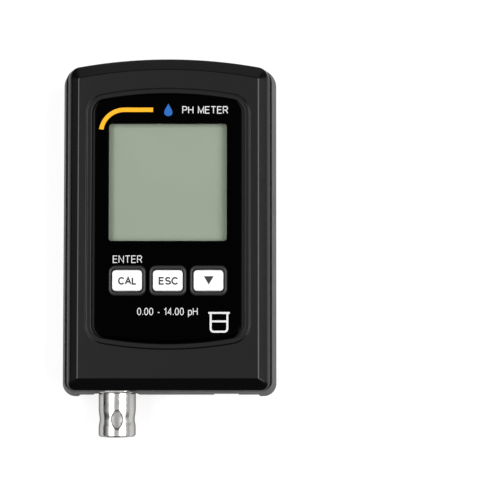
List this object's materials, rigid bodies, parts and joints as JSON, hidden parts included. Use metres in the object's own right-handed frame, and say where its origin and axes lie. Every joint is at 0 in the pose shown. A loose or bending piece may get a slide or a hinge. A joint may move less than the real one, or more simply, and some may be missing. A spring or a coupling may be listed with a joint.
{
  "type": "ph meter",
  "caption": "Flat hand-held pH meter: black bevelled front over a dark grey case, square display, a row of white keys and a bayonet probe connector with a turning ring on its bottom end.",
  "frame": {"origin": "centre of the whole object's footprint, on the plane of its flat back", "axes": "+X to the right across the display, +Y towards the top end away from the probe connector, +Z out of the display"},
  "size_m": [0.0838, 0.1482, 0.0269],
  "materials": {
    "black_plastic": "satin moulded, fine spark texture",
    "grey_plastic": "satin moulded, fine spark texture",
    "panel_black": "glossy overlay with printed legends",
    "clear_window": "clear flat lens",
    "lcd_grey": "reflective liquid crystal cell, blank",
    "white_plastic": "satin moulded",
    "chrome": "bright nickel plating",
    "plated_metal": "turned and nickel plated",
    "gold_contact": "gold plated",
    "white_insulator": "turned fluoropolymer or diffusing acrylic",
    "rubber_grey": "moulded silicone",
    "carbon_black": "conductive carbon rubber",
    "circuit_green": "solder-masked glass epoxy",
    "chip_black": "moulded epoxy",
    "steel": "plain zinc plated",
    "cell_wrap": "plain plastic wrap, unmarked"
  },
  "bodies": {
    "case": {"front_bezel": "black_plastic", "front_panel": "panel_black", "upper_case": "grey_plastic", "lower_case": "grey_plastic", "lcd_window": "clear_window", "lcd_glass": "lcd_grey", "lcd_holder": "white_plastic", "lcd_backlight": "white_insulator", "zebra_strip_top": "rubber_grey", "zebra_strip_bottom": "rubber_grey", "keypad_mat": "rubber_grey", "main_board": "circuit_green", "processor_chip": "chip_black", "converter_chip": "chip_black", "amplifier_chip": "chip_black", "input_shield": "steel", "clock_crystal": "steel", "buzzer": "chip_black", "reservoir_capacitor": "chip_black", "power_socket": "chip_black", "connector_body": "plated_metal", "connector_insulator": "white_insulator", "connector_pin": "gold_contact", "connector_gasket": "rubber_grey", "connector_nut": "plated_metal", "wave_washer": "steel", "signal_lead": "rubber_grey", "contact_first": "plated_metal", "contact_bridge_1": "plated_metal", "contact_bridge_2": "plated_metal", "contact_bridge_3": "plated_metal", "contact_last": "plated_metal", "key_dome_cal": "rubber_grey", "key_dome_esc": "rubber_grey", "key_dome_down": "rubber_grey", "case_screw_1": "steel", "board_screw_1": "steel", "cell_1": "cell_wrap", "case_screw_2": "steel", "board_screw_2": "steel", "cell_2": "cell_wrap", "case_screw_3": "steel", "board_screw_3": "steel", "cell_3": "cell_wrap", "case_screw_4": "steel", "board_screw_4": "steel", "cell_4": "cell_wrap"},
    "battery_cover": {"battery_cover": "grey_plastic"},
    "ring_carrier": {"slip_washer": "steel"},
    "coupling_ring": {"coupling_ring": "chrome"},
    "key_cal": {"key_cal": "white_plastic", "contact_pill_cal": "carbon_black"},
    "key_esc": {"key_esc": "white_plastic", "contact_pill_esc": "carbon_black"},
    "key_down": {"key_down": "white_plastic", "contact_pill_down": "carbon_black"}
  },
  "joints": [
    {"name": "key_cal_press", "type": "slide", "parent": "case", "child": "key_cal", "axis": [0, 0, -1], "range_m": [0, 0.0008], "stiffness_N_per_m": 900, "springref_m": -0.0003, "deforming": ["key_dome_cal"]},
    {"name": "key_esc_press", "type": "slide", "parent": "case", "child": "key_esc", "axis": [0, 0, -1], "range_m": [0, 0.0008], "stiffness_N_per_m": 900, "springref_m": -0.0003, "deforming": ["key_dome_esc"]},
    {"name": "key_down_press", "type": "slide", "parent": "case", "child": "key_down", "axis": [0, 0, -1], "range_m": [0, 0.0008], "stiffness_N_per_m": 900, "springref_m": -0.0003, "deforming": ["key_dome_down"]},
    {"name": "coupling_pull", "type": "slide", "parent": "case", "child": "ring_carrier", "axis": [0, -1, 0], "range_m": [0, 0.0008], "stiffness_N_per_m": 1200, "springref_m": -0.0004},
    {"name": "coupling_turn", "type": "hinge", "parent": "ring_carrier", "child": "coupling_ring", "pos_m": [-0.0205, -0.0661, 0.013], "axis": [0, 1, 0], "continuous": true},
    {"name": "battery_cover_slide", "type": "slide", "parent": "case", "child": "battery_cover", "axis": [0, 1, 0], "range_m": [0, 0.062]}
  ]
}
